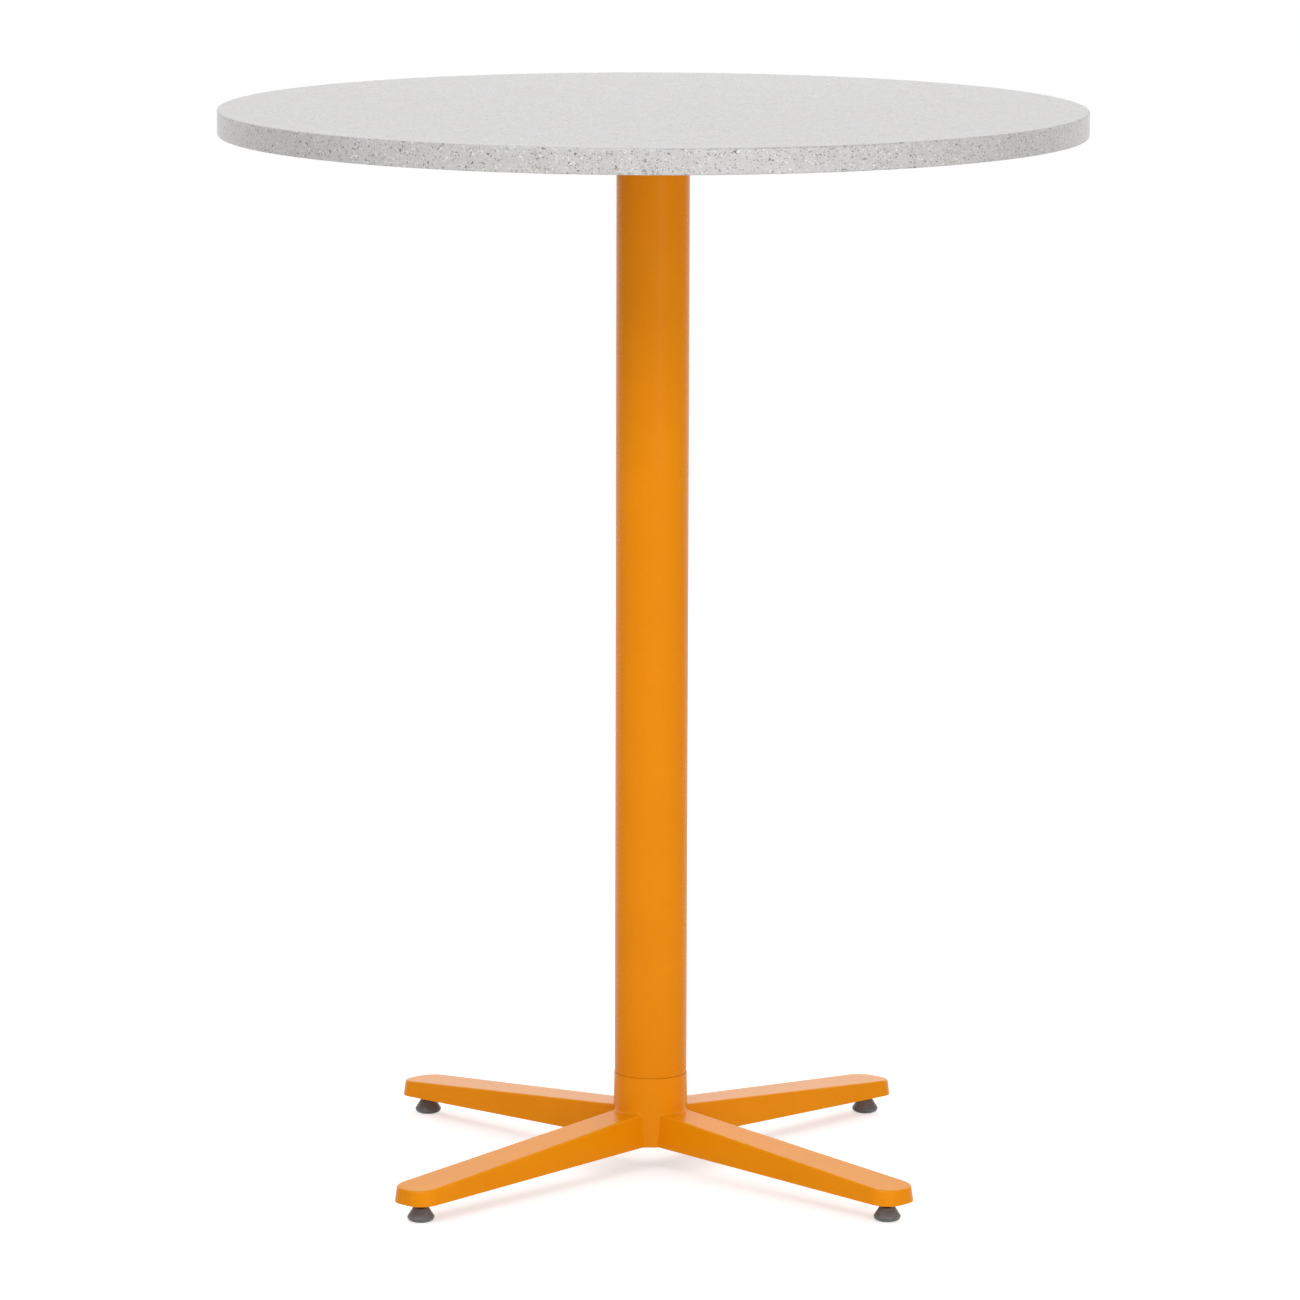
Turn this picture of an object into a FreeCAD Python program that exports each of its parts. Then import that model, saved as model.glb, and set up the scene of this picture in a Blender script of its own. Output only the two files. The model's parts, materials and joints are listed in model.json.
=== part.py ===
import FreeCAD, Part
import math
import os

# Round bar-height table. A speckled slab sits on a cast four-arm spider, one tie rod clamps
# spider, column tube and cast four-leg base together, and each leg stands on a levelling glide.
# Millimetres, +Z up, origin on the floor under the column. Front is -Y, right is +X.

Vector = FreeCAD.Vector
UP = Vector(0, 0, 1)
FLOOR_CENTRE = Vector(0, 0, 0)

# Driving dimensions
table_height = 1120.0
top_diameter = 900.0
tube_diameter = 76.1
glide_circle_radius = 338.0
corner_names = ("back_right", "back_left", "front_left", "front_right")
first_corner_angle = 45.0  # degrees from +X to the first corner in the list
hexagon_bevel_angle = 30.0  # degrees, on the corners of nuts and collars

# Fits, all measured on the radius
thread_clearance = 0.05
spigot_clearance = 0.2
rod_hole_clearance = 0.5
screw_hole_clearance = 0.3
swivel_clearance = 0.15
sole_clearance = 0.05
cut_overrun = 2.0  # how far a cutting tool passes the face that it opens
same_place = 0.001  # points nearer than this are one

# Slab
top_thickness = 26.0
top_edge_round = 1.5

# Screws and the inserts that they go into
screw_diameter = 6.0
screw_head_diameter = 11.0
screw_head_height = 3.4
screw_head_round = 1.6
screw_socket_flats = 4.0
screw_socket_depth = 2.0
screw_end_gap = 1.0  # from the screw's end to the insert's upper end
insert_diameter = 10.0
insert_length = 15.0
insert_pocket_gap = 0.5  # from the insert's upper end to the floor of its pocket

# Column tube and the spigots that centre it
tube_wall = 2.5
tube_seat_rise = 0.5  # seat standing above the hub, which leaves a shadow line round the tube's foot
tube_seat_inset = 1.2  # seat's edge back from the tube's side
spigot_length = 18.0
spigot_wall = 6.0

# Spider
spider_depth = 28.0
spider_arm_thickness = 8.0
spider_root_width = 46.0
spider_tip_width = 50.0
spider_draft = 4.0  # degrees
spider_corner_round = 18.0
spider_edge_round = 1.5
spider_rib_thickness = 7.0
spider_nut_floor = 7.5  # left under the nut's pocket
spider_screw_circle_radius = 166.0
spider_screw_spread = 28.0  # between the two screws of one arm
spider_tip_margin = 24.0  # from the screw circle out to the arms' ends
spider_rib_end_gap = 26.0  # from the ribs' ends out to the screw circle

# Tie rod with its nuts and washers
rod_diameter = 12.0
rod_end_bevel = 1.0
rod_tail = 5.0  # rod standing out below the lower nut
rod_head_gap = 0.5  # from the rod's upper end to the slab
nut_flats = 18.0
nut_height = 10.0
nut_pocket_clearance = 0.1
washer_diameter = 24.0
washer_thickness = 2.5
lock_washer_diameter = 20.0
lock_washer_thickness = 3.0
lock_washer_slit = 2.0

# Base hub
hub_collar = 36.0  # hub standing above the legs' upper faces, where those meet the axis
hub_drop = 1.3  # hub standing below the legs' rims
hub_lip = 0.5  # how far the hub stands out from the tube
hub_draft = 0.8  # degrees
hub_top_round = 0.4
hub_wall = 8.0
hub_floor = 16.0

# Legs: depths and widths of the upper face, where the leg's lines meet the axis and at its tip
leg_tip_margin = 24.0  # from the glide's axis out to the leg's tip
leg_depth_at_axis = 36.5
leg_depth_at_tip = 15.5
leg_rim_rise = 8.3  # from the rim at the tip up to its line at the axis
leg_root_shoulder = 19.1  # from the upper face's edge, at the axis, out to the tube's side
leg_width_at_tip = 49.7
leg_draft = 5.7  # degrees
leg_corner_round = 21.0
leg_edge_round = 2.5
leg_root_round = 3.0  # where a leg's upper face runs up into the hub
leg_cheek_round = 0.8  # where its sides do
leg_wall = 5.0
leg_web = 6.0
leg_root_wall = 12.0  # between the hub's hollow and the leg's
leg_rib_thickness = 4.0
leg_rib_recess = 5.0  # from the legs' rim up to the ribs
leg_cross_rib_shares = (0.36, 0.7)  # along the hollow, from its root to the glide boss

# Glide bosses in the legs
boss_diameter = 22.0
boss_recess = 0.8  # from the rim up to the boss's face
boss_skin = 3.4  # left between the threaded hole and the leg's upper face
stud_end_gap = 2.0  # from the stud's end to the end of its hole

# Glide studs
stud_diameter = 8.0
stud_end_bevel = 0.8
stud_neck_diameter = 6.0
collar_flats = 11.0
collar_height = 5.1
collar_stand = 0.95  # from the pad up to the collar
collar_gap = 1.7  # from the collar up to the boss, to screw the glide in by
ball_diameter = 9.0

# Glide pads and soles
pad_floor = 1.35  # left between the sole and the ball's socket
pad_grip = 5.5  # from the ball's centre up to the pad's top
pad_top_diameter = 16.5
pad_diameter = 27.6
pad_widest_height = 5.2
pad_foot_diameter = 22.6
pad_mouth_clearance = 1.1  # round the stud's neck, so that the pad can tilt
pad_top_round = 0.8
pad_rim_bulge = 0.7
sole_margin = 1.3  # pad left round the sole
sole_thickness = 2.6
sole_stand = 0.7  # how far the sole stands out below the pad
sole_edge_round = 0.4

# Levels from the floor up: pad, collar, boss and the legs' rims
ball_height = sole_thickness + pad_floor + swivel_clearance + ball_diameter / 2
pad_height = ball_height + pad_grip
collar_bottom = pad_height + collar_stand
collar_top = collar_bottom + collar_height
boss_face = collar_top + collar_gap
leg_reach = glide_circle_radius + leg_tip_margin
leg_bottom_at_tip = boss_face - boss_recess - leg_rim_rise * leg_tip_margin / leg_reach
leg_bottom_at_axis = leg_bottom_at_tip + leg_rim_rise
leg_top_at_tip = leg_bottom_at_tip + leg_depth_at_tip
leg_top_at_axis = leg_bottom_at_axis + leg_depth_at_axis
hub_bottom = leg_bottom_at_axis - hub_drop
hub_top = leg_top_at_axis + hub_collar
tube_foot = hub_top + tube_seat_rise

# Other levels and radii that several pieces share
tube_radius = tube_diameter / 2
leg_width_at_axis = tube_diameter - 2 * leg_root_shoulder
bore_radius = tube_radius - tube_wall
slab_underside = table_height - top_thickness
spider_bottom = slab_underside - spider_depth
spider_reach = spider_screw_circle_radius + spider_tip_margin
spider_rib_reach = spider_screw_circle_radius - spider_rib_end_gap
hub_top_radius = tube_radius + hub_lip
hub_ceiling = hub_top - hub_floor
hollow_radius = hub_top_radius - hub_wall
rod_hole_radius = rod_diameter / 2 + rod_hole_clearance
nut_seat = slab_underside - rod_head_gap - nut_height
washer_seat = hub_ceiling - washer_thickness
lock_seat = washer_seat - lock_washer_thickness
screw_hole_radius = screw_diameter / 2 + screw_hole_clearance
arm_underside = slab_underside - spider_arm_thickness
sole_diameter = pad_foot_diameter - 2 * sole_margin


def corner_angle(index):
    return first_corner_angle + index * 360.0 / len(corner_names)


def turned(shape, angle):
    """A copy of a shape turned about the table's axis."""
    copy = shape.copy()
    copy.rotate(FLOOR_CENTRE, UP, angle)
    return copy


def at_each_corner(shape):
    return [turned(shape, corner_angle(index)) for index in range(len(corner_names))]


def cylinder(radius, low, high, x=0.0, y=0.0):
    return Part.makeCylinder(radius, high - low, Vector(x, y, low))


def revolved(points):
    """A solid turned about Z from an outline of (radius, height) points."""
    outline = [Vector(radius, 0, height) for radius, height in points]
    face = Part.Face(Part.makePolygon(outline + outline[:1]))
    return face.revolve(FLOOR_CENTRE, UP, 360)


def hexagon(flats, low, high):
    """A six-sided prism about Z, by its width across flats."""
    radius = flats / math.sqrt(3)
    corners = [Vector(radius * math.cos(a), radius * math.sin(a), low)
               for a in (math.radians(60 * n) for n in range(6))]
    return Part.Face(Part.makePolygon(corners + corners[:1])).extrude(UP * (high - low))


def bevelled_hexagon(flats, low, high):
    """A hexagon with the corners of both faces turned off, as on a nut."""
    across_corners = flats / math.sqrt(3)
    face_radius = flats / 2
    bevel = (across_corners - face_radius) * math.tan(math.radians(hexagon_bevel_angle))
    barrel = revolved([(0, low), (face_radius, low), (across_corners, low + bevel),
                       (across_corners, high - bevel), (face_radius, high), (0, high)])
    return hexagon(flats, low, high).common(barrel)


def edges_where(shape, test):
    return [edge for edge in shape.Edges if all(test(vertex.Point) for vertex in edge.Vertexes)]


def circles_at(shape, height):
    """The closed circular edges of a shape at one height."""
    return [edge for edge in shape.Edges
            if len(edge.Vertexes) == 1 and abs(edge.CenterOfMass.z - height) < same_place]


class TaperedBar:
    """A straight bar along +X with drafted sides and end, between a narrow and a wide face."""

    def __init__(self, reach, narrow_heights, wide_heights, narrow_widths, draft):
        self.reach = reach
        self.narrow_heights = narrow_heights
        self.wide_heights = wide_heights
        self.narrow_widths = narrow_widths
        self.slope = math.tan(math.radians(draft))
        self.towards_narrow = 1 if narrow_heights[0] > wide_heights[0] else -1

    def between(self, ends, x):
        return ends[0] + (ends[1] - ends[0]) * x / self.reach

    def narrow_height(self, x):
        return self.between(self.narrow_heights, x)

    def wide_height(self, x):
        return self.between(self.wide_heights, x)

    def half_width(self, x, height):
        below_narrow = abs(self.narrow_height(x) - height)
        return self.between(self.narrow_widths, x) / 2 + below_narrow * self.slope

    def tip_depth(self):
        return abs(self.narrow_heights[1] - self.wide_heights[1])

    def corner_points(self, start, wall, web, overrun):
        """Four corners of the root and four of the tip, inset by a wall and a web."""
        narrow_end = self.reach - wall - self.tip_depth() * self.slope
        wide_end = self.reach - wall
        sections = []
        for narrow_x, wide_x in ((start, start), (narrow_end, wide_end)):
            high = self.narrow_height(narrow_x) - web * self.towards_narrow
            low = self.wide_height(wide_x) - overrun * self.towards_narrow
            high_half = self.half_width(narrow_x, high) - wall
            low_half = self.half_width(wide_x, low) - wall
            side = self.towards_narrow
            sections.append([Vector(narrow_x, -side * high_half, high),
                             Vector(narrow_x, side * high_half, high),
                             Vector(wide_x, side * low_half, low),
                             Vector(wide_x, -side * low_half, low)])
        return sections

    def solid(self, start=0.0, wall=0.0, web=0.0, overrun=0.0, corner_round=0.0):
        """The bar, or the hollow that a wall and a web leave in it, with rounded tip corners."""
        root, tip = self.corner_points(start, wall, web, overrun)
        faces = [Part.Face(Part.makePolygon(quad + quad[:1])) for quad in (root, tip)]
        for n in range(4):
            quad = [root[n], root[n - 1], tip[n - 1], tip[n]]
            faces.append(Part.Face(Part.makePolygon(quad + quad[:1])))
        shell = Part.Shell(faces)
        shell.sewShape()
        bar = Part.Solid(shell)
        middles = [(tip[1] + tip[2]) / 2, (tip[0] + tip[3]) / 2]
        corners = [min(bar.Edges, key=lambda e: e.CenterOfMass.distanceToPoint(m)) for m in middles]
        return bar.makeFillet(corner_round, corners)

    def narrow_edges(self, bar):
        """The edges round the narrow face, but for the one at the root."""
        def on_narrow(point):
            return abs(point.z - self.narrow_height(point.x)) < same_place

        return [edge for edge in edges_where(bar, on_narrow) if edge.CenterOfMass.x > same_place]


leg_bar = TaperedBar(leg_reach, (leg_top_at_axis, leg_top_at_tip), (leg_bottom_at_axis, leg_bottom_at_tip),
                     (leg_width_at_axis, leg_width_at_tip), leg_draft)
arm_bar = TaperedBar(spider_reach, (arm_underside, arm_underside), (slab_underside, slab_underside),
                     (spider_root_width, spider_tip_width), spider_draft)

stud_hole_top = leg_bar.narrow_height(glide_circle_radius) - boss_skin
stud_top = stud_hole_top - stud_end_gap


def screw_places():
    """Where the screws of one arm stand, along and across the arm."""
    return [(spider_screw_circle_radius, side * spider_screw_spread / 2) for side in (-1, 1)]


def table_top():
    radius = top_diameter / 2
    slab = cylinder(radius, slab_underside, table_height)
    slab = slab.makeFillet(top_edge_round, circles_at(slab, slab_underside) + circles_at(slab, table_height))
    pocket_radius = insert_diameter / 2 + thread_clearance
    pocket_top = slab_underside + insert_length + insert_pocket_gap
    pockets = []
    for x, y in screw_places():
        pocket = cylinder(pocket_radius, slab_underside - cut_overrun, pocket_top, x, y)
        pockets += at_each_corner(pocket)
    return slab.cut(pockets)


def top_inserts():
    inserts = []
    for x, y in screw_places():
        body = cylinder(insert_diameter / 2, slab_underside, slab_underside + insert_length, x, y)
        hole = cylinder(screw_diameter / 2 + thread_clearance, slab_underside - cut_overrun,
                        slab_underside + insert_length + cut_overrun, x, y)
        inserts += at_each_corner(body.cut(hole))
    return Part.makeCompound(inserts)


def spider_screws():
    head_bottom = arm_underside - screw_head_height
    shank = cylinder(screw_diameter / 2, arm_underside, slab_underside + insert_length - screw_end_gap)
    head = cylinder(screw_head_diameter / 2, head_bottom, arm_underside)
    head = head.makeFillet(screw_head_round, circles_at(head, head_bottom))
    socket = hexagon(screw_socket_flats, head_bottom - cut_overrun, head_bottom + screw_socket_depth)
    screw = shank.fuse(head).cut(socket).removeSplitter()
    screws = []
    for x, y in screw_places():
        placed = screw.translated(Vector(x, y, 0))
        screws += at_each_corner(placed)
    return Part.makeCompound(screws)


def spider_rib():
    """A web under one arm, deepest at the hub."""
    outline = [Vector(0, -spider_rib_thickness / 2, arm_underside),
               Vector(spider_rib_reach, -spider_rib_thickness / 2, arm_underside),
               Vector(tube_radius, -spider_rib_thickness / 2, spider_bottom),
               Vector(0, -spider_rib_thickness / 2, spider_bottom)]
    return Part.Face(Part.makePolygon(outline + outline[:1])).extrude(Vector(0, spider_rib_thickness, 0))


def top_spider():
    arm = arm_bar.solid(corner_round=spider_corner_round)
    arm = arm.makeFillet(spider_edge_round, arm_bar.narrow_edges(arm))
    spigot_radius = bore_radius - spigot_clearance
    spigot_bottom = spider_bottom - spigot_length
    hub = cylinder(tube_radius, spider_bottom, slab_underside)
    spigot = cylinder(spigot_radius, spigot_bottom, spider_bottom)
    body = hub.fuse([spigot] + at_each_corner(arm) + at_each_corner(spider_rib()))
    hollow = cylinder(spigot_radius - spigot_wall, spigot_bottom - cut_overrun, nut_seat - spider_nut_floor)
    rod_hole = cylinder(rod_hole_radius, spigot_bottom, slab_underside + cut_overrun)
    nut_pocket = hexagon(nut_flats + 2 * nut_pocket_clearance, nut_seat, slab_underside + cut_overrun)
    holes = [hollow, rod_hole, nut_pocket]
    for x, y in screw_places():
        hole = cylinder(screw_hole_radius, arm_underside - cut_overrun, slab_underside + cut_overrun, x, y)
        holes += at_each_corner(hole)
    return body.cut(holes).removeSplitter()


def column_tube():
    outer = cylinder(tube_radius, tube_foot, spider_bottom)
    return outer.cut(cylinder(bore_radius, tube_foot - cut_overrun, spider_bottom + cut_overrun))


def tie_rod():
    radius = rod_diameter / 2
    low = lock_seat - nut_height - rod_tail
    high = slab_underside - rod_head_gap
    return revolved([(0, low), (radius - rod_end_bevel, low), (radius, low + rod_end_bevel),
                     (radius, high - rod_end_bevel), (radius - rod_end_bevel, high), (0, high)])


def rod_nut(low):
    high = low + nut_height
    hole = cylinder(rod_diameter / 2 + thread_clearance, low - cut_overrun, high + cut_overrun)
    return bevelled_hexagon(nut_flats, low, high).cut(hole)


def base_washer():
    ring = cylinder(washer_diameter / 2, washer_seat, hub_ceiling)
    return ring.cut(cylinder(rod_hole_radius, washer_seat - cut_overrun, hub_ceiling + cut_overrun))


def base_lock_washer():
    """A spring washer: a square-section ring with one slit."""
    radius = lock_washer_diameter / 2
    ring = cylinder(radius, lock_seat, washer_seat)
    ring = ring.cut(cylinder(rod_hole_radius, lock_seat - cut_overrun, washer_seat + cut_overrun))
    slit = Part.makeBox(radius + cut_overrun, lock_washer_slit, lock_washer_thickness + 2 * cut_overrun,
                        Vector(0, -lock_washer_slit / 2, lock_seat - cut_overrun))
    return ring.cut(slit)


def leg_hollow():
    """What is cast out of one leg from below, round its ribs and its glide boss."""
    start = hollow_radius + leg_root_wall
    hollow = leg_bar.solid(start, leg_wall, leg_web, cut_overrun, leg_corner_round - leg_wall)
    deepest = leg_bottom_at_tip - cut_overrun
    boss = cylinder(boss_diameter / 2, boss_face, leg_top_at_axis, glide_circle_radius)
    run = glide_circle_radius - boss_diameter / 2 - start
    width = leg_bar.half_width(leg_reach, deepest)
    cross_ribs = [Part.makeBox(leg_rib_thickness, 2 * width, leg_top_at_axis,
                               Vector(start + share * run, -width, 0)) for share in leg_cross_rib_shares]
    long_rib = Part.makeBox(leg_reach - start, leg_rib_thickness, leg_top_at_axis,
                            Vector(start, -leg_rib_thickness / 2, 0))
    above_recess = leg_bar.solid(0.0, 0.0, 0.0, -leg_rib_recess, leg_corner_round)
    ribs = long_rib.fuse(cross_ribs).common(above_recess)
    return hollow.cut([ribs, boss])


def hub_radius_at(height):
    return hub_top_radius + (hub_top - height) * math.tan(math.radians(hub_draft))


def on_hub(point):
    return abs(math.hypot(point.x, point.y) - hub_radius_at(point.z)) < same_place


def on_leg_top(point):
    """Whether a point lies in the plane of the nearest leg's upper face."""
    angles = [math.radians(corner_angle(index)) for index in range(len(corner_names))]
    along = max(point.x * math.cos(a) + point.y * math.sin(a) for a in angles)
    return abs(point.z - leg_bar.narrow_height(along)) < same_place


def root_edges(body):
    """Where the legs' sides and tops run into the hub, each with the fillet radii at its two ends."""
    middle = (leg_top_at_axis + leg_bottom_at_axis) / 2
    edges = []
    for number, edge in enumerate(body.Edges, start=1):
        points = [vertex.Point for vertex in edge.Vertexes]
        highest = max(point.z for point in points)
        if middle < highest < leg_top_at_axis and all(on_hub(point) for point in points):
            radii = [leg_root_round if on_leg_top(point) else leg_cheek_round for point in points]
            edges.append((number, radii[0], radii[-1]))
    return edges


def graded_fillet(shape, edges):
    """Fillets whose radius runs from one value to another along each edge."""
    document = FreeCAD.newDocument()
    base = document.addObject("Part::Feature")
    base.Shape = shape
    fillet = document.addObject("Part::Fillet")
    fillet.Base = base
    fillet.Edges = edges
    document.recompute()
    return fillet.Shape


def base_casting():
    leg = leg_bar.solid(corner_round=leg_corner_round)
    leg = leg.makeFillet(leg_edge_round, leg_bar.narrow_edges(leg))
    hub = Part.makeCone(hub_radius_at(hub_bottom), hub_top_radius, hub_top - hub_bottom,
                        Vector(0, 0, hub_bottom))
    body = hub.fuse(at_each_corner(leg)).removeSplitter()
    body = graded_fillet(body, root_edges(body))
    body = body.makeFillet(hub_top_round, circles_at(body, hub_top))
    spigot_radius = bore_radius - spigot_clearance
    spigot_top = hub_top + spigot_length
    spigot = cylinder(spigot_radius, hub_top, spigot_top)
    seat = cylinder(tube_radius - tube_seat_inset, hub_top, tube_foot)
    spigot_hollow = cylinder(spigot_radius - spigot_wall, hub_top, spigot_top + cut_overrun)
    hub_hollow = cylinder(hollow_radius, hub_bottom - cut_overrun, hub_ceiling)
    rod_hole = cylinder(rod_hole_radius, hub_ceiling - cut_overrun, spigot_top)
    stud_hole = cylinder(stud_diameter / 2 + thread_clearance, 0, stud_hole_top, glide_circle_radius)
    hollows = [spigot_hollow, hub_hollow, rod_hole] + at_each_corner(leg_hollow()) + at_each_corner(stud_hole)
    return body.fuse([spigot, seat]).cut(hollows).removeSplitter()


def glide_stud():
    """A threaded stud with a hexagon collar to turn it by and a ball for the pad to swivel on."""
    radius = stud_diameter / 2
    shank = revolved([(0, collar_bottom), (radius, collar_bottom), (radius, stud_top - stud_end_bevel),
                      (radius - stud_end_bevel, stud_top), (0, stud_top)])
    collar = bevelled_hexagon(collar_flats, collar_bottom, collar_top)
    neck = cylinder(stud_neck_diameter / 2, ball_height, collar_bottom)
    ball = Part.makeSphere(ball_diameter / 2, Vector(0, 0, ball_height))
    return shank.fuse([collar, neck, ball]).removeSplitter()


def glide_pad():
    """A flared foot with a ball socket above and a recess for its sole below."""
    rim = Vector(pad_diameter / 2, 0, pad_widest_height)
    foot = Vector(pad_foot_diameter / 2, 0, sole_stand)
    bulge = (rim + foot) / 2 + Vector(pad_rim_bulge, 0, -pad_rim_bulge)
    shoulder = Vector(pad_top_diameter / 2, 0, pad_height)
    top_centre = Vector(0, 0, pad_height)
    foot_centre = Vector(0, 0, sole_stand)
    outline = Part.Wire([Part.makeLine(foot_centre, foot), Part.Arc(foot, bulge, rim).toShape(),
                         Part.makeLine(rim, shoulder), Part.makeLine(shoulder, top_centre),
                         Part.makeLine(top_centre, foot_centre)])
    body = Part.Face(outline).revolve(FLOOR_CENTRE, UP, 360)
    body = body.makeFillet(pad_top_round, circles_at(body, pad_height))
    socket = Part.makeSphere(ball_diameter / 2 + swivel_clearance, Vector(0, 0, ball_height))
    mouth = cylinder(stud_neck_diameter / 2 + pad_mouth_clearance, ball_height, pad_height + cut_overrun)
    recess = cylinder(sole_diameter / 2 + sole_clearance, 0, sole_thickness)
    return body.cut([socket, mouth, recess]).removeSplitter()


def glide_sole():
    sole = cylinder(sole_diameter / 2, 0, sole_thickness)
    return sole.makeFillet(sole_edge_round, circles_at(sole, 0))


nodes = {
    "table_top": table_top(),
    "top_inserts": top_inserts(),
    "top_spider": top_spider(),
    "spider_screws": spider_screws(),
    "column_tube": column_tube(),
    "tie_rod": tie_rod(),
    "spider_nut": rod_nut(nut_seat),
    "base_washer": base_washer(),
    "base_lock_washer": base_lock_washer(),
    "base_nut": rod_nut(lock_seat - nut_height),
    "base_casting": base_casting(),
}
glide_pieces = {"glide_stud": glide_stud(), "glide_pad": glide_pad(), "glide_sole": glide_sole()}
for piece, shape in glide_pieces.items():
    placed = shape.translated(Vector(glide_circle_radius, 0, 0))
    for corner, copy in zip(corner_names, at_each_corner(placed)):
        nodes[piece + "_" + corner] = copy

os.makedirs("parts", exist_ok=True)
for name, shape in nodes.items():
    shape.exportStep(os.path.join("parts", name + ".step"))
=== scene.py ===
import json
import math

import bmesh
import bpy
from mathutils import Matrix, Vector


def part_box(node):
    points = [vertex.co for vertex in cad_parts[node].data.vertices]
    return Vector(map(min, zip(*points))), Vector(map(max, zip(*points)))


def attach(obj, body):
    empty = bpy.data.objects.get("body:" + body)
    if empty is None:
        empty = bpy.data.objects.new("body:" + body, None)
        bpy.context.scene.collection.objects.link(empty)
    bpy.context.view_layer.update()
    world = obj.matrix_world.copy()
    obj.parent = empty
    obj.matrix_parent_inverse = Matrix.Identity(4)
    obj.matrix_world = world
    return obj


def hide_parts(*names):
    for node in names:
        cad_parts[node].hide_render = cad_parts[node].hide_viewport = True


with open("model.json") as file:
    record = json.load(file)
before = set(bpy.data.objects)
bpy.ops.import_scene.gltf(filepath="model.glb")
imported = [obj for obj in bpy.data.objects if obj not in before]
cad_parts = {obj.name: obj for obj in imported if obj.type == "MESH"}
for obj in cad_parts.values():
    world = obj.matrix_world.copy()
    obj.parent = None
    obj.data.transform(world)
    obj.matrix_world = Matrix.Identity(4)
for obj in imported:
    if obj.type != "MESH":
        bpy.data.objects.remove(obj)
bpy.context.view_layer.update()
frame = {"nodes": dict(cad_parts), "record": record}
nodes = frame["nodes"]
scene = bpy.context.scene
scene.view_settings.view_transform = "Standard"
print("frame loaded,", len(nodes), "pieces")

noiseMiddle = 0.5  # the value that a noise varies about


# A shader socket that takes part in formulas: each operator adds its own Math node.
class Signal:
    def __init__(self, socket):
        self.socket = socket
        self.tree = socket.id_data

    # any node: its type, then its settings, then the values or links of its sockets
    def node(self, kind, settings, sockets, out=0):
        made = self.tree.nodes.new(kind)
        for name, value in settings.items():
            setattr(made, name, value)
        for name, value in sockets.items():
            plug(made.inputs[name], value)
        return Signal(made.outputs[out])

    def maths(self, operation, first, second):
        return self.node("ShaderNodeMath", {"operation": operation}, {0: first, 1: second})

    def __add__(self, other):
        return self.maths("ADD", self, other)

    def __radd__(self, other):
        return self.maths("ADD", other, self)

    def __sub__(self, other):
        return self.maths("SUBTRACT", self, other)

    def __rsub__(self, other):
        return self.maths("SUBTRACT", other, self)

    def __mul__(self, other):
        return self.maths("MULTIPLY", self, other)

    def __rmul__(self, other):
        return self.maths("MULTIPLY", other, self)

    def __lt__(self, other):
        return self.maths("LESS_THAN", self, other)

    # the reflected form of the one above
    def __gt__(self, other):
        return self.maths("GREATER_THAN", self, other)

    # 0 below low, 1 above high, smooth between
    def rise(self, low, high):
        return self.node("ShaderNodeMapRange", {"interpolation_type": "SMOOTHSTEP"},
                         {"Value": self, "From Min": low, "From Max": high})

    # this mask chooses between two colours
    def choose(self, off, on):
        return self.node("ShaderNodeMix", {"data_type": "RGBA"}, {0: self, 6: off, 7: on}, out=2)

    def part(self, name):
        return self.node("ShaderNodeSeparateXYZ", {}, {0: self}, out=name)

    # the grain is a length in metres
    def noise(self, grain, detail=2.0, out=0):
        return self.node("ShaderNodeTexNoise", {},
                         {"Vector": self, "Scale": 1 / grain, "Detail": detail}, out)

    def stretched(self, scale):
        return self.node("ShaderNodeMapping", {}, {"Vector": self, "Scale": scale})

    # a height of 1 is this deep, in metres
    def bump(self, depth):
        return self.node("ShaderNodeBump", {}, {"Height": self, "Distance": depth})


def plug(socket, value):
    if isinstance(value, Signal):
        value.tree.links.new(value.socket, socket)
        return
    if socket.type == "RGBA" and len(value) == 3:
        value = (*value, 1.0)
    socket.default_value = value


def startFinish(name):
    material = bpy.data.materials.new(name)
    material.use_nodes = True
    tree = material.node_tree
    where = Signal(tree.nodes.new("ShaderNodeTexCoord").outputs["Object"])
    return material, tree.nodes["Principled BSDF"], where


def setShader(shader, sockets):
    for name, value in sockets.items():
        plug(shader.inputs[name], value)


# Looks: sizes and depths in metres. A Rise says where a mask starts and ends,
# and a Dull what it adds to the roughness.

# Speckled slab: a pale ground with small chips all through it
slabLook = {
    "ground": (0.568, 0.560, 0.562),
    "warmGround": (0.554, 0.540, 0.527),
    "mottleSize": 0.03,
    "mottleRise": (0.35, 0.65),
    "grainSize": 0.0007,
    "grainRise": (0.52, 0.72),
    "grainDark": (0.455, 0.45, 0.446),
    "grainShare": 0.6,
    "grainDepth": 0.00002,
    "grainDull": 0.05,
    "roughness": 0.25,
    # cell size, share of cells with a chip, how far a chip draws back from its cell's edge, colours, shift
    "chips": [
        (0.0027, 0.52, (0.10, 0.30), (0.345, 0.338, 0.335), (0.33, 0.307, 0.28), (0.31, 0.17, 0.53)),
        (0.0028, 0.46, (0.12, 0.32), (0.76, 0.76, 0.755), (0.67, 0.65, 0.61), (0.73, 0.41, 0.11)),
        (0.0039, 0.32, (0.18, 0.38), (0.195, 0.192, 0.192), (0.27, 0.252, 0.232), (0.13, 0.67, 0.29)),
    ],
    "chipRise": (0.0, 0.06),
    "chipDull": -0.05,
    "chipFlat": 1.3,  # the chips lie flat: how much wider than high they are
    "chipPull": (1.7, 2.0),  # waves that pull chips into shards: length and height, in chip sizes
    "chipPullDetail": 1.0,
}


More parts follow.
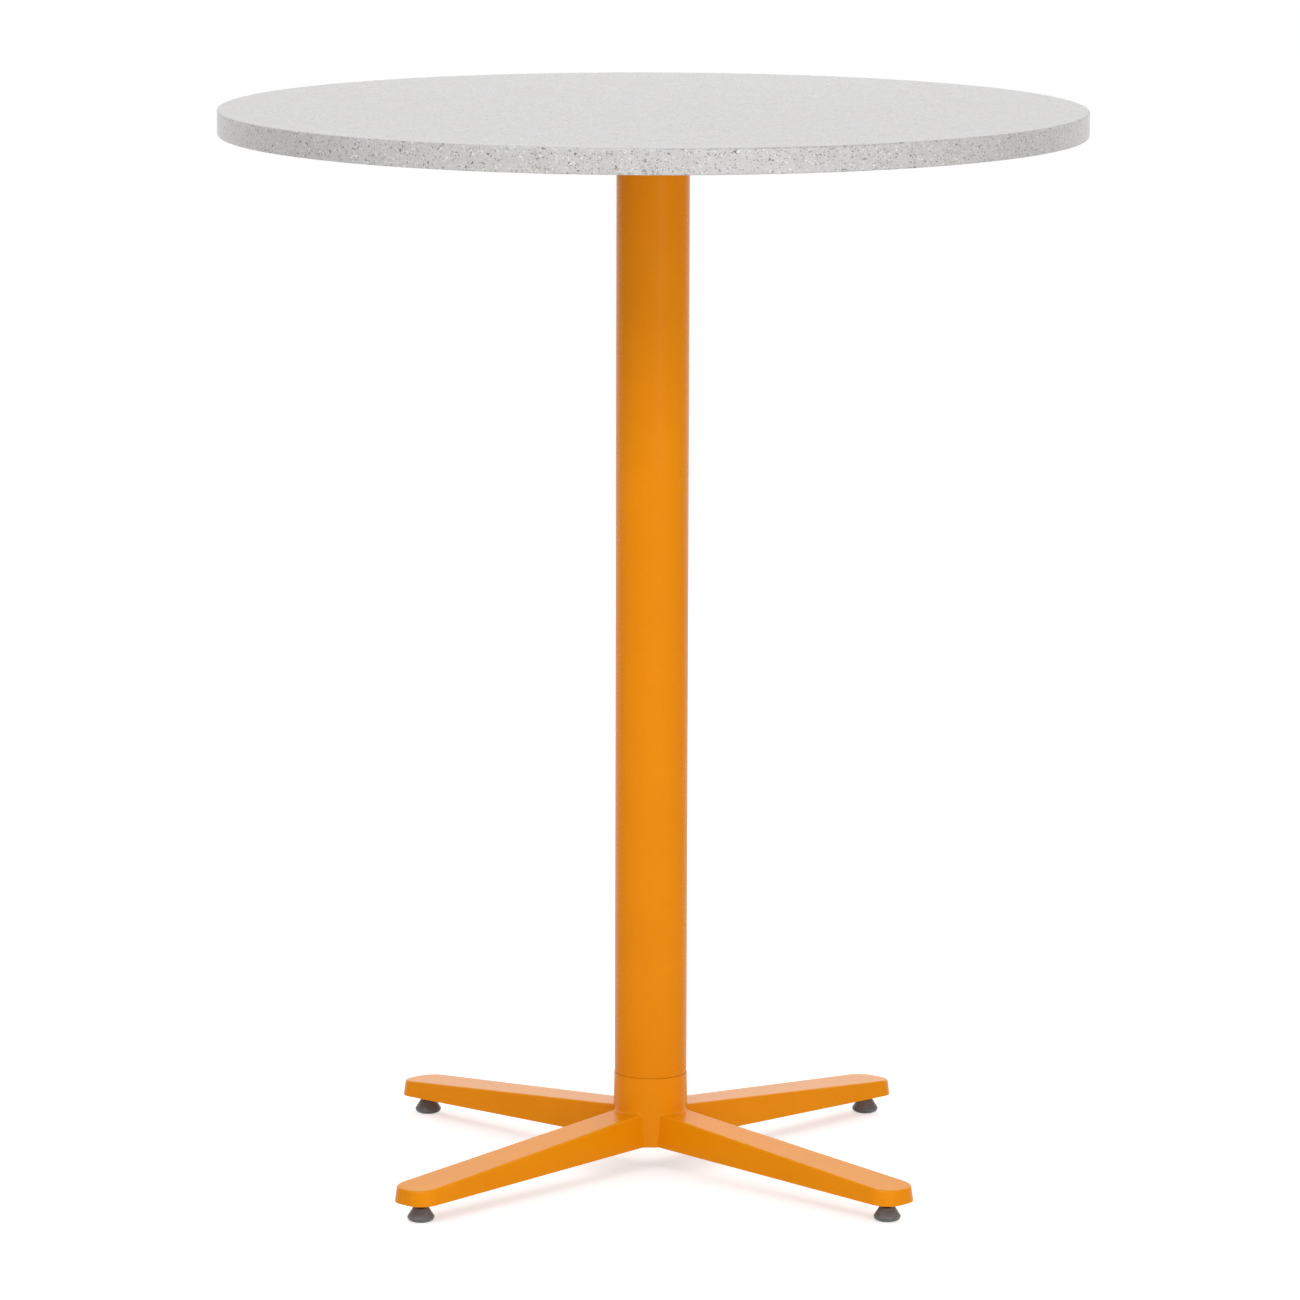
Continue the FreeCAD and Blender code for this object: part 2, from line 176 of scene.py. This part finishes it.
# 1 on the chips of one kind, and a random number for each chip
def chipMask(where, size, share, drawn, shift):
    look = slabLook
    length, reach = look["chipPull"]
    waves = where.noise(size * length, look["chipPullDetail"], out="Color")
    push = where.node("ShaderNodeVectorMath", {"operation": "MULTIPLY_ADD"},
                      {0: waves, 1: (size * reach,) * 3, 2: shift})
    place = where.node("ShaderNodeVectorMath", {"operation": "ADD"}, {0: where, 1: push})
    cell = {"Vector": place.stretched((1, 1, look["chipFlat"])), "Scale": 1 / size}
    pick = where.node("ShaderNodeTexVoronoi", {"feature": "F1"}, cell, out="Color")
    edge = where.node("ShaderNodeTexVoronoi", {"feature": "DISTANCE_TO_EDGE"}, cell)
    least, most = drawn
    inset = pick.part("Y") * (most - least) + least
    inside = (edge - inset).rise(*look["chipRise"])
    return (pick.part("X") < share) * inside, pick.part("Z")


def speckledSlab():
    material, shader, where = startFinish("speckledSlab")
    look = slabLook
    mottle = where.noise(look["mottleSize"]).rise(*look["mottleRise"])
    colour = mottle.choose(look["ground"], look["warmGround"])
    grain = where.noise(look["grainSize"]).rise(*look["grainRise"])
    colour = (grain * look["grainShare"]).choose(colour, look["grainDark"])
    roughness = look["roughness"] + grain * look["grainDull"]
    for size, share, drawn, tone, otherTone, shift in look["chips"]:
        mask, pick = chipMask(where, size, share, drawn, shift)
        colour = mask.choose(colour, pick.choose(tone, otherTone))
        roughness = roughness + mask * look["chipDull"]
    setShader(shader, {"Base Color": colour, "Roughness": roughness,
                       "Normal": grain.bump(look["grainDepth"])})
    return material


# Satin powder coat with a faint orange peel, on the tube and on the castings; the castings' copy carries
# painted light, a lighter and yellower tone
coatLook = {
    "tubeColours": ((0.835, 0.264, 0.0012), (0.805, 0.250, 0.0010)),
    "tubeRoughness": 0.27,
    "tubeSpecular": 0.15,
    # painted light: the castings wear the same coat as the tube, but their colours are a little lighter
    # and yellower, standing in for the brighter light on the base
    "castColours": ((0.865, 0.280, 0.0012), (0.83, 0.264, 0.0010)),
    "castRoughness": 0.21,
    "castSpecular": 0.22,
    "castWaveSize": 0.011,
    "castWaveDepth": 0.00003,
    "cloudSize": 0.09,
    "cloudDetail": 3.0,
    "cloudRise": (0.3, 0.7),
    "cloudDull": 0.08,
    "peelSize": 0.002,
    "peelDepth": 0.000007,
    "peelDull": 0.06,
    # painted highlight: the legs' upper faces get a yellower coat tone, standing in for the tone of the
    # sheen on them
    "paintedHighlightColours": ((0.865, 0.306, 0.0012), (0.83, 0.288, 0.0010)),
    "legTopAtAxis": 0.0653,
    "legFall": 0.0809,  # drop of the upper face for each metre along the leg
    "upperDepth": (0.0014, 0.0004),  # off the upper face: where the tone ends and where it is full
    "upperStart": (0.042, 0.075),  # from the axis outwards, clear of the hub
}


# 1 on the legs' upper faces, which fall evenly from the hub to the tips; the painted highlight tone goes
# there
def legTopHighlightMask(where):
    look = coatLook
    # distance from the axis
    out = where.node("ShaderNodeVectorMath", {"operation": "LENGTH"},
                     {0: where.stretched((1, 1, 0))}, out="Value")
    top = look["legTopAtAxis"] - out * look["legFall"]
    end, full = look["upperDepth"]
    above = where.part("Z") - top
    return above.rise(-end, -full) * (1 - above.rise(full, end)) * out.rise(*look["upperStart"])


def orangeCoat(name, cast):
    material, shader, where = startFinish(name)
    look = coatLook
    kind = "cast" if cast else "tube"
    cloud = where.noise(look["cloudSize"], look["cloudDetail"])
    cloudMask = cloud.rise(*look["cloudRise"])
    clear, deep = look[kind + "Colours"]
    colour = cloudMask.choose(deep, clear)
    peel = where.noise(look["peelSize"])
    height = peel * look["peelDepth"]
    if cast:
        clearHighlight, deepHighlight = look["paintedHighlightColours"]
        # painted highlight: a yellower tone on the legs' upper faces
        colour = legTopHighlightMask(where).choose(colour, cloudMask.choose(deepHighlight, clearHighlight))
        height = height + where.noise(look["castWaveSize"]) * look["castWaveDepth"]
    roughness = look[kind + "Roughness"] + (cloud - noiseMiddle) * look["cloudDull"]
    roughness = roughness + (peel - noiseMiddle) * look["peelDull"]
    setShader(shader, {"Base Color": colour, "Roughness": roughness,
                       "Specular IOR Level": look[kind + "Specular"],
                       "Normal": height.bump(1.0)})  # the height is in metres already
    return material


# Zinc-plated steel, turned or rolled, with fine marks across its axis
steelLook = {
    "colour": (0.60, 0.60, 0.585),
    "dullColour": (0.44, 0.44, 0.43),
    "roughness": 0.30,
    "cloudSize": 0.004,
    "cloudDetail": 4.0,
    "cloudRise": (0.35, 0.7),
    "cloudDull": 0.12,
    "markSize": 0.0004,
    "markStretch": (0.15, 0.15, 1.0),
    "markDepth": 0.00002,
    "markDull": 0.08,
}

# Brass inserts
brassLook = {
    "colour": (0.70, 0.49, 0.21),
    "dullColour": (0.50, 0.34, 0.15),
    "roughness": 0.32,
    "cloudSize": 0.003,
    "cloudDetail": 4.0,
    "cloudRise": (0.3, 0.7),
    "cloudDull": 0.1,
    "markSize": 0.0005,
    "markStretch": (0.2, 0.2, 1.0),
    "markDepth": 0.00002,
    "markDull": 0.0,
}


def turnedMetal(name, look):
    material, shader, where = startFinish(name)
    cloud = where.noise(look["cloudSize"], look["cloudDetail"])
    marks = where.stretched(look["markStretch"]).noise(look["markSize"])
    colour = cloud.rise(*look["cloudRise"]).choose(look["colour"], look["dullColour"])
    roughness = look["roughness"] + cloud * look["cloudDull"] + marks * look["markDull"]
    setShader(shader, {"Base Color": colour, "Metallic": 1.0, "Roughness": roughness,
                       "Normal": marks.bump(look["markDepth"])})
    return material


# Moulded grey plastic of the foot pads, with painted light: lighter in patches towards the floor, standing
# in for the light on their lower faces
padLook = {
    "colour": (0.195, 0.195, 0.196),
    "darkColour": (0.155, 0.154, 0.154),
    "cloudSize": 0.006,
    "cloudDetail": 3.0,
    "cloudRise": (0.3, 0.7),
    "dustAndPaintedLight": (0.25, 0.248, 0.245),
    "paintedLightRise": (0.0, 0.006),  # height above the floor
    "paintedLightShare": 0.5,
    "grainSize": 0.0005,
    "grainDepth": 0.000015,
    "grainDull": 0.1,
    "roughness": 0.33,
}


def padPlastic():
    material, shader, where = startFinish("padPlastic")
    look = padLook
    grain = where.noise(look["grainSize"])
    cloud = where.noise(look["cloudSize"], look["cloudDetail"])
    colour = cloud.rise(*look["cloudRise"]).choose(look["darkColour"], look["colour"])
    # painted light: a lighter tone in patches on the pads' lowest part
    low = 1 - where.part("Z").rise(*look["paintedLightRise"])
    colour = (low * cloud * look["paintedLightShare"]).choose(colour, look["dustAndPaintedLight"])
    setShader(shader, {"Base Color": colour, "Roughness": look["roughness"] + grain * look["grainDull"],
                       "Normal": grain.bump(look["grainDepth"])})
    return material


# Soft rubber soles
soleLook = {
    "colour": (0.028, 0.027, 0.026),
    "dustAndPaintedLight": (0.075, 0.072, 0.068),
    "grainSize": 0.0008,
    "grainDetail": 4.0,
    "grainRise": (0.45, 0.75),
    "grainDepth": 0.00006,
    "grainDull": 0.1,
    "roughness": 0.75,
}


def soleRubber():
    material, shader, where = startFinish("soleRubber")
    look = soleLook
    grain = where.noise(look["grainSize"], look["grainDetail"])
    colour = grain.rise(*look["grainRise"]).choose(look["colour"], look["dustAndPaintedLight"])
    setShader(shader, {"Base Color": colour, "Roughness": look["roughness"] + grain * look["grainDull"],
                       "Normal": grain.bump(look["grainDepth"])})
    return material


finishes = {
    "speckled_slab": speckledSlab(),
    "zinc_steel": turnedMetal("zincSteel", steelLook),
    "brass_inserts": turnedMetal("turnedBrass", brassLook),
    "pad_plastic": padPlastic(),
    "sole_rubber": soleRubber(),
}
tubeCoat = orangeCoat("orangeTubeCoat", cast=False)
castCoat = orangeCoat("orangeCastCoat", cast=True)
print("finishes made,", len(bpy.data.materials), "materials")


def dress(piece, finish):
    piece.data.materials.clear()
    piece.data.materials.append(finish)


for subpart in frame["record"]["subparts"]:
    slot = subpart["material_slot"]
    coat = tubeCoat if subpart["node"] == "column_tube" else castCoat
    dress(nodes[subpart["node"]], finishes.get(slot, coat))
print("pieces dressed")


# Cut threads on the glide studs and on the rod's lower end, in metres
threadLook = {
    "stepsPerTurn": 40,
    # one pitch of the profile: shares of the pitch along the axis, and of the depth below the crest
    "profile": ((0.0, 1.0), (0.125, 1.0), (0.4375, 0.0), (0.5625, 0.0), (0.875, 1.0), (1.0, 1.0)),
    "depth": 0.613,  # as a share of the pitch
    "stud": {"crest": 0.00398, "pitch": 0.00125, "length": 0.01235, "endBevel": 0.0008,
             "collar": (0.0150, 0.02016)},  # the collar's faces lie between these heights
    "rod": {"crest": 0.00598, "pitch": 0.00175, "length": 0.036, "endBevel": 0.0012},
    "neckShare": 0.8,  # faces nearer to the axis than this share of the crest aren't the collar's
    "sharpAngle": 0.62,
    "samePoint": 1e-7,  # points closer than this are one
    "sameShare": 0.001,  # the same for the turns of a thread, as a share of the pitch
}


def splitAt(shape, height, keepBelow):
    geometry = shape.verts[:] + shape.edges[:] + shape.faces[:]
    cut = bmesh.ops.bisect_plane(shape, geom=geometry, dist=threadLook["samePoint"],
                                 plane_co=(0, 0, height), plane_no=(0, 0, 1),
                                 clear_outer=keepBelow, clear_inner=not keepBelow)
    rim = [edge for edge in cut["geom_cut"] if isinstance(edge, bmesh.types.BMEdge)]
    bmesh.ops.holes_fill(shape, edges=rim)


def cutThread(axis, low, high, thread):
    shape = bmesh.new()
    pitch, crest, steps = thread["pitch"], thread["crest"], threadLook["stepsPerTurn"]
    deep = pitch * threadLook["depth"]
    start = low - pitch
    verts = [shape.verts.new((axis.x + crest - deep * below, axis.y, start + pitch * along))
             for along, below in threadLook["profile"]]
    edges = [shape.edges.new(pair) for pair in zip(verts, verts[1:])]
    turns = math.ceil((high - start) / pitch)
    bmesh.ops.spin(shape, geom=verts + edges, cent=(axis.x, axis.y, 0), axis=(0, 0, 1),
                   angle=2 * math.pi * turns, steps=steps * turns, dvec=(0, 0, pitch / steps))
    bmesh.ops.remove_doubles(shape, verts=shape.verts[:], dist=pitch * threadLook["sameShare"])
    splitAt(shape, low, keepBelow=False)
    splitAt(shape, high, keepBelow=True)
    return shape


# turn the end of a thread down to a cone
def bevelEnd(shape, axis, end, inward, thread):
    for vert in shape.verts:
        reach = thread["endBevel"] - (vert.co.z - end) * inward
        out = Vector((vert.co.x - axis.x, vert.co.y - axis.y))
        most = thread["crest"] - max(reach, 0.0)
        if out.length > most:
            out *= most / out.length
            vert.co.x, vert.co.y = axis.x + out.x, axis.y + out.y


# the collar is coated like the legs
def paintCollar(shape, axis, thread):
    low, high = thread["collar"]
    neck = thread["crest"] * threadLook["neckShare"]
    for face in shape.faces:
        middle = face.calc_center_median()
        if low < middle.z < high and (middle - axis).xy.length > neck:
            face.material_index = 1


# a thread in place of the plain shank of a CAD piece, whose other end is kept
def threadPiece(name, node, body, thread, atTop):
    lowest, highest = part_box(node)
    axis = (Vector(lowest) + Vector(highest)) / 2
    shape = bmesh.new()
    shape.from_mesh(nodes[node].data)
    bmesh.ops.remove_doubles(shape, verts=shape.verts[:], dist=threadLook["samePoint"])
    if atTop:
        low, high, end, inward = highest[2] - thread["length"], highest[2], highest[2], -1
        splitAt(shape, low, keepBelow=True)
    else:
        low, high, end, inward = lowest[2], lowest[2] + thread["length"], lowest[2], 1
        splitAt(shape, high, keepBelow=False)
    for face in shape.faces:
        face.material_index = 0
    spiral = cutThread(axis, low, high, thread)
    bevelEnd(spiral, axis, end, inward, thread)
    mesh = bpy.data.meshes.new(name)
    spiral.to_mesh(mesh)
    spiral.free()
    shape.from_mesh(mesh)
    bmesh.ops.recalc_face_normals(shape, faces=shape.faces[:])
    for face in shape.faces:
        face.smooth = True
    if "collar" in thread:
        paintCollar(shape, axis, thread)
    shape.to_mesh(mesh)
    shape.free()
    mesh.set_sharp_from_angle(angle=threadLook["sharpAngle"])
    piece = bpy.data.objects.new(name, mesh)
    scene.collection.objects.link(piece)
    mesh.materials.append(finishes["zinc_steel"])
    if "collar" in thread:
        mesh.materials.append(castCoat)
    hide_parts(node)
    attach(piece, body)


for corner in ("back_right", "back_left", "front_left", "front_right"):
    threadPiece("threadedStud_" + corner, "glide_stud_" + corner, "stud_" + corner,
                threadLook["stud"], atTop=True)
threadPiece("threadedRod", "tie_rod", "frame", threadLook["rod"], atTop=False)
print("threads cut")


# Studio: pale floor, soft front light from above, white surroundings
studio = {
    "floorRadius": 6.0,
    "floorSegments": 96,
    "floorColour": (0.80, 0.80, 0.80),
    "floorGlow": 0.56,
    "white": (1, 1, 1),
    "ambient": 0.61,
    "frontReflection": 0.12,  # how bright the side behind the camera is in reflections
    "backRise": (0.2, 0.8),  # where reflections grow bright towards the back
    # place, aim, width and height in metres, power in watts, whether gloss shows the lamp
    "lights": {
        "frontSoftbox": ((-0.55, -2.65, 2.60), (0.0, 0.0, 0.82), (2.6, 0.9), 32.0, True),
        "lowFill": ((1.45, -3.25, 0.75), (0.0, 0.0, 0.6), (1.6, 1.3), 27.0, False),
        "backSoftbox": ((0.4, 2.6, 2.4), (0.0, 0.0, 0.1), (2.4, 1.0), 40.0, False),
    },
}


def makeFloor():
    shape = bmesh.new()
    bmesh.ops.create_circle(shape, cap_ends=True, segments=studio["floorSegments"],
                            radius=studio["floorRadius"])
    mesh = bpy.data.meshes.new("floor")
    shape.to_mesh(mesh)
    shape.free()
    floor = bpy.data.objects.new("floor", mesh)
    scene.collection.objects.link(floor)
    material = bpy.data.materials.new("paleFloor")
    material.use_nodes = True
    tree = material.node_tree
    tree.nodes.remove(tree.nodes["Principled BSDF"])
    camera = Signal(tree.nodes.new("ShaderNodeLightPath").outputs["Is Camera Ray"])
    matte = camera.node("ShaderNodeBsdfDiffuse", {}, {"Color": studio["floorColour"]})
    glow = camera.node("ShaderNodeEmission", {},
                       {"Color": studio["white"], "Strength": camera * studio["floorGlow"]})
    both = camera.node("ShaderNodeAddShader", {}, {0: matte, 1: glow})
    # a view from under the floor looks through it
    below = camera.node("ShaderNodeNewGeometry", {}, {}, out="Backfacing")
    clear = camera.node("ShaderNodeBsdfTransparent", {}, {})
    plug(tree.nodes["Material Output"].inputs["Surface"],
         camera.node("ShaderNodeMixShader", {}, {0: below, 1: both, 2: clear}))
    mesh.materials.append(material)
    floor.visible_glossy = False


def makeSurroundings():
    world = bpy.data.worlds.new("studio")
    scene.world = world
    world.use_nodes = True
    tree = world.node_tree
    path = tree.nodes.new("ShaderNodeLightPath")
    camera, glossy, through = (Signal(path.outputs[name]) for name in
                               ("Is Camera Ray", "Is Glossy Ray", "Is Transmission Ray"))
    facing = Signal(tree.nodes.new("ShaderNodeTexCoord").outputs["Generated"]).part("Y")
    dim = studio["frontReflection"]
    mirrored = facing.rise(*studio["backRise"]) * (1 - dim) + dim
    seen = camera.maths("MAXIMUM", camera, through)
    strength = seen + (1 - seen) * (glossy * mirrored + (1 - glossy) * studio["ambient"])
    plug(tree.nodes["Background"].inputs["Color"], studio["white"])
    plug(tree.nodes["Background"].inputs["Strength"], strength)


def makeLight(name, place, aim, size, power, shines):
    light = bpy.data.lights.new(name, "AREA")
    light.shape = "RECTANGLE"
    light.size, light.size_y = size
    light.energy = power
    lamp = bpy.data.objects.new(name, light)
    lamp.location = place
    lamp.rotation_euler = (Vector(aim) - lamp.location).to_track_quat("-Z", "Y").to_euler()
    lamp.visible_glossy = shines
    scene.collection.objects.link(lamp)


makeFloor()
makeSurroundings()
for lightName, lightSetup in studio["lights"].items():
    makeLight(lightName, *lightSetup)
print("studio lit")


# Camera at the photograph's place: metres and radians, lens and sensor in millimetres
cameraView = {
    "place": (-0.1210, -7.0062, 1.7316),
    "lens": 188.05,
    "sensor": 36.0,
    "down": 0.1667,
    "right": 0.0170,
    "roll": 0.0029,
}


def makeCamera():
    data = bpy.data.cameras.new("camera")
    data.lens = cameraView["lens"]
    data.sensor_width = cameraView["sensor"]
    camera = bpy.data.objects.new("camera", data)
    scene.collection.objects.link(camera)
    camera.matrix_world = (Matrix.Translation(cameraView["place"])
                           @ Matrix.Rotation(-cameraView["right"], 4, "Z")
                           @ Matrix.Rotation(math.pi / 2 - cameraView["down"], 4, "X")
                           @ Matrix.Rotation(cameraView["roll"], 4, "Z"))
    scene.camera = camera


makeCamera()
